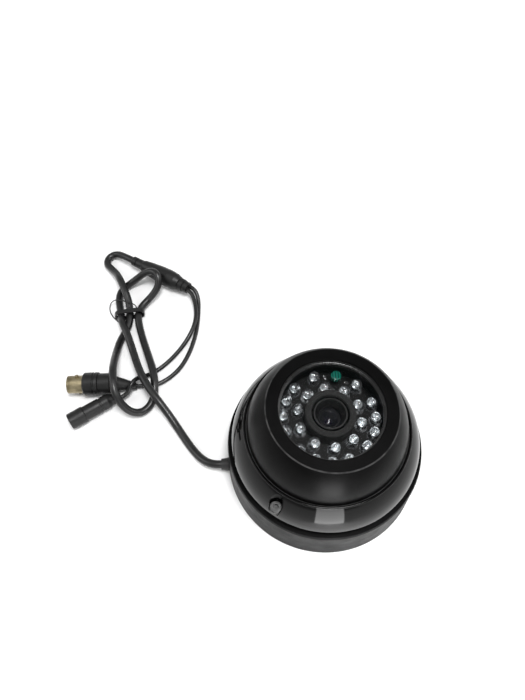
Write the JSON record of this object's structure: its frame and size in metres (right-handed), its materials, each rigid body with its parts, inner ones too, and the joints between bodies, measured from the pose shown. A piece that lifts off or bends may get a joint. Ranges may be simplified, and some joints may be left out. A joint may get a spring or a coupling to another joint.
{
  "type": "dome security camera",
  "caption": "Round metal dome camera: a swivelling ball with a ringed lens and infrared lights, held in a fixed base, with a bundled pigtail of video and power leads.",
  "frame": {"origin": "centre of the base's underside, which goes against the ceiling or wall", "axes": "+Z out of the base towards the window; -X is the side where the cable leaves the base; +Y is the side on which the bundled cable lies"},
  "size_m": [0.1802, 0.1859, 0.0629],
  "materials": {
    "base_paint": "satin black paint",
    "ring_enamel": "glossy black enamel",
    "ball_paint": "satin black paint",
    "ring_satin": "satin black",
    "black_rubber": "matte",
    "grey_rubber": "matte dark",
    "black_nylon": "matte",
    "black_foam": "open cell foam",
    "screw_steel": "blackened steel",
    "clear_glass": "clear polished",
    "filter_glass": "coated",
    "lens_glass": "coated",
    "led_resin": "clear resin",
    "black_board": "solder mask",
    "green_board": "solder mask",
    "photocell_green": "moulded",
    "sensor_dark": "cover glass",
    "chip_black": "moulded",
    "white_plastic": "moulded",
    "anodised_black": "black anodised",
    "nickel": "worn nickel plate",
    "gold_brass": "gold plate",
    "cable_jacket": "satin PVC",
    "cable_moulding": "moulded PVC",
    "tie_plastic": "satin"
  },
  "bodies": {
    "base": {"base_housing": "base_paint", "ring_gasket": "black_rubber", "clamp_ring": "ring_enamel", "clamp_screws": "screw_steel", "clamp_pad": "black_rubber", "lead_clip": "black_nylon", "lead_clip_screw": "screw_steel", "inner_lead": "cable_jacket", "main_cable": "cable_jacket", "cable_splitter": "cable_moulding", "power_lead": "cable_jacket", "video_lead": "cable_jacket", "twist_tie": "tie_plastic", "twist_tie_tail": "tie_plastic", "bnc_shell": "nickel", "bnc_insulator": "white_plastic", "bnc_contact": "gold_brass", "bnc_housing": "cable_moulding", "bnc_boot": "cable_moulding", "dc_body": "cable_moulding", "dc_pin": "nickel", "dc_contact": "nickel", "dc_boot": "cable_moulding", "cable_grommet": "grey_rubber"},
    "seat": {"ball_seat": "black_nylon"},
    "yoke": {"rear_boot": "black_rubber"},
    "ball": {"ball_front_shell": "ball_paint", "ball_rear_shell": "ball_paint", "ball_seam_seal": "black_rubber", "shell_screws": "screw_steel", "window_gasket": "black_rubber", "window_glass": "clear_glass", "window_ring": "ring_satin", "outer_leds": "led_resin", "inner_leds": "led_resin", "led_board": "black_board", "led_board_screws": "screw_steel", "photocell": "photocell_green", "lens_holder": "black_nylon", "lens_foam": "black_foam", "infrared_filter": "filter_glass", "image_sensor": "sensor_dark", "main_board": "green_board", "main_board_screws": "screw_steel", "main_board_chips": "chip_black", "lead_socket": "white_plastic", "jumper_sockets": "white_plastic", "led_jumper": "white_plastic", "ball_lead": "cable_jacket"},
    "focus_carrier": {"lens_lock_ring": "anodised_black"},
    "lens": {"lens_barrel": "anodised_black", "lens_front_element": "lens_glass", "lens_rear_element": "lens_glass"}
  },
  "joints": [
    {"name": "pan", "type": "hinge", "parent": "base", "child": "seat", "pos_m": [0, 0, 0.0394], "axis": [0, 0, 1], "range_deg": [-175, 175], "deforming": ["inner_lead"]},
    {"name": "tilt", "type": "hinge", "parent": "seat", "child": "yoke", "pos_m": [0, 0, 0.0394], "axis": [0, 1, 0], "range_deg": [-2, 36]},
    {"name": "spin", "type": "hinge", "parent": "yoke", "child": "ball", "pos_m": [0, 0, 0.0394], "axis": [0.0349, 0, 0.9994], "range_deg": [-175, 175]},
    {"name": "focus_travel", "type": "slide", "parent": "ball", "child": "focus_carrier", "axis": [0.0349, 0, 0.9994], "range_m": [-0.00025, 0.00025]},
    {"name": "focus_turn", "type": "hinge", "parent": "focus_carrier", "child": "lens", "pos_m": [0, 0, 0.0394], "axis": [0.0349, 0, 0.9994], "range_deg": [-181, 181]}
  ],
  "couplings": [
    {"joint": "focus_turn", "follows": "focus_travel", "rad_per_m": 12566}
  ]
}
